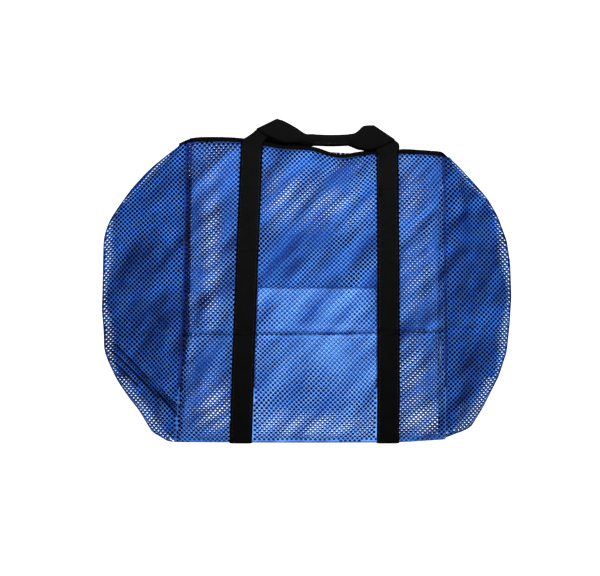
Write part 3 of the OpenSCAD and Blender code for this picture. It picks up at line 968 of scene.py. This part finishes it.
def coil_turns(side):
    turns = np.arange(0, (ZIP_RIGHT - ZIP_LEFT) / COIL_PITCH, 1 / 12)
    x = ZIP_LEFT + turns * COIL_PITCH + (COIL_PITCH / 2 if side > 0 else 0.0)
    a = turns * 2 * np.pi
    reach = np.sign(np.cos(a)) * np.abs(np.cos(a)) ** 0.8
    y = 0.95 - 1.45 * reach
    z = 0.75 * np.sin(a)
    # each loop leans, and its head is a little swollen where it locks with the other side
    fat = 0.36 + 0.12 * np.clip(reach, 0, 1) ** 4
    return np.stack([x + MIDDLE, side * y, zip_line(x) + z + 0.1], 1), fat


tape_black = tape_colour("woven_zipper_tape_black", "#020203", "#060607", 400.0)

nylon, shader = cloth_material("nylon_coil_black")
where = node(nylon, "ShaderNodeTexCoord").outputs["Object"]
grain = node(nylon, "ShaderNodeTexNoise", {"Scale": 300.0, "Detail": 3.0}, Vector=where).outputs["Fac"]
surface_of(nylon, shader, mixed_colour(nylon, "#030304", "#0A0A0B", grain), grain, 0.15, 0.0001, 0.5, 0.1)

metal, shader = cloth_material("lacquered_zinc_gunmetal")
where = node(metal, "ShaderNodeTexCoord").outputs["Object"]
wear = node(metal, "ShaderNodeTexNoise", {"Scale": 420.0, "Detail": 5.0, "Roughness": 0.7},
            Vector=where).outputs["Fac"]
bare = node(metal, "ShaderNodeMapRange", {"From Min": 0.66, "From Max": 0.74}, Value=wear).outputs["Result"]
rough = node(metal, "ShaderNodeMapRange", {"To Min": 0.28, "To Max": 0.5}, Value=wear).outputs["Result"]
for source, socket in ((mixed_colour(metal, "#19191B", "#7C7C80", bare), "Base Color"),
                       (rough, "Roughness"), (bare, "Metallic")):
    metal.node_tree.links.new(source, shader.inputs[socket])

for side, face in ((-1, "front"), (1, "rear")):
    tape = band(f"{face}_zipper_tape_woven", tape_rows(side), 0.6, tape_black, rib=0.05, pitch=1.1, flip=side)
    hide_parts(f"{face}_zipper_tape")
    path, fat = coil_turns(side)
    coil = tube(f"{face}_zipper_coil_loops", path, fat, nylon, sides=6)
    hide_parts(f"{face}_zipper_coil")
    xs = np.arange(-214, 217, 1.0)
    line = panel_point(xs, mouth(xs) - collar(xs) - 1.5, side, 0.45)
    seam = stitches(f"{face}_zipper_stitching", line, web_thread)
    for piece in (tape, coil, seam):
        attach(piece, "bag")

for name, mat in (("zipper_slider", metal), ("zipper_pull", metal), ("zipper_stops", nylon)):
    kept = bpy.data.objects[name]
    for slot in kept.material_slots:
        slot.material = mat
    soft = kept.modifiers.new("rounded", "BEVEL")
    soft.width, soft.segments = 0.00028, 3

# --- Handles -----------------------------------------------------------------------------------------
# Each handle is the straps' webbing carried on above the mouth: it turns over towards the middle,
# and its two ends meet in a grip where the webbing is folded in half and stitched.

# edges of the ribbon, (x, z) of one and of the other, from the mouth to the grip
LEFT_RIBBON = (((-128.6, 496), (-90.6, 494)), ((-128.2, 502), (-90.2, 500.5)), ((-128, 508), (-90, 507)),
               ((-127.8, 514), (-89, 512.5)), ((-126, 520), (-87.5, 517)), ((-119, 524.6), (-82, 526)),
               ((-110, 530.5), (-74, 541)), ((-101, 538), (-64, 556)), None,
               ((-91, 531.6), (-54, 552.8)), ((-75, 524), (-44, 547.6)), ((-55, 515.8), (-31, 540)),
               ((-38, 515.4), (-22, 533.6)), ((-24, 516.2), (-15, 530.2)), ((-12, 514), (-8, 530)),
               ((-1, 512), (-1, 530)))
RIGHT_RIBBON = (((105.2, 487), (143.2, 486)), ((105.6, 492), (143.6, 491)), ((105.4, 497), (144, 495.6)),
                ((104, 504), (144.6, 501)), ((101, 514), (145.4, 507)), ((98.5, 524), (145, 512)),
                ((97.6, 534), (142.5, 515.8)), ((99, 545), (137, 519.5)), None,
                ((92, 545), (127, 514)), ((84, 544), (112, 506.4)), ((79, 540.6), (100, 503.6)),
                ((75, 536.4), (90, 503.2)), ((70, 532.8), (81, 504.8)), ((66, 531), (73.6, 506)),
                ((58, 530), (58, 512)))
DROPS = {-1: (0, 0), 1: (12, 1)}            # mm by which each handle's two folds hang lower
RISER_Y = 10.8                              # mm, depth of the webbing where it rises from the mouth
GRIP_LEFT, GRIP_RIGHT = -4, 61              # mm, the ends of the grip


def ribbon(side, rows, drop):
    """Rows of points across a handle's webbing: up flat, over the fold, and on to the grip."""
    cut = rows.index(None)
    up, on = np.array(rows[:cut], float), np.array([rows[cut - 1], *rows[cut + 1:]], float)
    up[:, :, 1] -= drop * np.linspace(0, 1, len(up))[:, None] ** 2
    on[:, :, 1] -= drop * np.linspace(1, 0, len(on))[:, None] ** 0.6
    q = np.linspace(0, 1, 13)[:, None]
    radius = 0.9
    line = up[-1, 1] - up[-1, 0]
    away = np.array([-line[1], line[0]]) / np.hypot(*line)
    away *= np.sign(away[1])

    def lay(edges, depth):
        smooth = spline(edges, 0.5)
        flat = smooth[:, None, 0] * (1 - q) + smooth[:, None, 1] * q
        y = depth(np.linspace(0, 1, len(flat))[:, None], q[:, 0])
        return np.stack([flat[..., 0] + MIDDLE, side * y, flat[..., 1]], -1)

    rise = lay(up, lambda s, c: RISER_Y + 0.5 * np.sin(np.pi * s) * np.cos(3 * c) + 0 * c)
    over = lay(on, lambda s, c: 12.6 + 2.1 * np.sin(np.pi * c) * s ** 1.6 - 0.3 * s + 1.4 * np.sin(np.pi * s)
               * np.sin(np.pi * (0.5 + 0.4 * c)))
    turned = []
    for a in np.linspace(0, np.pi, 8)[1:-1]:
        base = rise[-1].copy()
        base[:, 0] += away[0] * radius * np.sin(a)
        base[:, 2] += away[1] * radius * np.sin(a)
        base[:, 1] = side * (RISER_Y + radius * (1 - np.cos(a)))
        turned.append(base)
    return np.concatenate([rise, np.array(turned), over])


def grip_sag(x):
    """How far the grip hangs at x, between its two ends."""
    return 1.2 * np.sin(np.pi * (x - GRIP_LEFT) / (GRIP_RIGHT - GRIP_LEFT))


def folded_grip(name, side):
    """The doubled webbing of the grip, wrapped round from edge to edge, and ribbed across."""
    around = np.linspace(0, 2 * np.pi, 37)[:-1]
    flat = np.sign(np.sin(around)) * np.abs(np.sin(around)) ** 0.8
    xs = np.arange(GRIP_LEFT, GRIP_RIGHT + 0.01, RIB / 4)
    ribs = 1 + 0.055 * np.cos(2 * np.pi * xs / RIB)[:, None]
    ends = (1 - 0.10 * bump(xs, GRIP_LEFT, 2.0) - 0.10 * bump(xs, GRIP_RIGHT, 2.0))[:, None]
    thick = 2.05 * np.sign(np.cos(around)) * np.abs(np.cos(around)) ** 0.6
    height = 521 - grip_sag(xs)[:, None] + 9.0 * flat[None] * ends
    p = np.stack([xs[:, None] + MIDDLE + 0 * around[None], side * (11.7 + thick[None] * ribs * ends), height],
                 -1)
    n, m = p.shape[:2]
    faces = [ring_faces(n, m), np.arange(m)[::-1][None], (np.arange(m) + (n - 1) * m)[None]]
    if side < 0:
        faces = [f[:, ::-1] for f in faces]
    return mesh_object(name, p.reshape(-1, 3), faces, [web_black])


for side, face in ((-1, "front"), (1, "rear")):
    body = f"{face}_handle"
    for hand, rows, drop, hinge in (("left", LEFT_RIBBON, DROPS[side][0], -109.0),
                                    ("right", RIGHT_RIBBON, DROPS[side][1], 124.7)):
        grid = even(ribbon(side, rows, drop), RIB / 4)
        piece = band(f"{face}_handle_{hand}_webbing", grid, WEB, web_black, flip=side)
        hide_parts(f"{face}_handle_{hand}")
        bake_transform(piece)
    grip = folded_grip(f"{face}_grip_webbing", side)
    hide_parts(f"{face}_grip")
    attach(grip, body)
    for place, x in (("left", -1.5), ("right", 58.5)):
        zs = np.arange(513.5, 528, 1.0)
        line = np.stack([x + MIDDLE + 0 * zs, side * (14.15 + 0 * zs), zs], 1)
        seam = stitches(f"{face}_grip_stitching_{place}", line, web_thread)
        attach(seam, body)
    xs = np.arange(0, 58, 1.0)
    line = np.stack([xs + MIDDLE, side * (14.0 + 0 * xs), 515.2 - grip_sag(xs)], 1)
    seam = stitches(f"{face}_grip_stitching_long", line, web_thread)
    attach(seam, body)
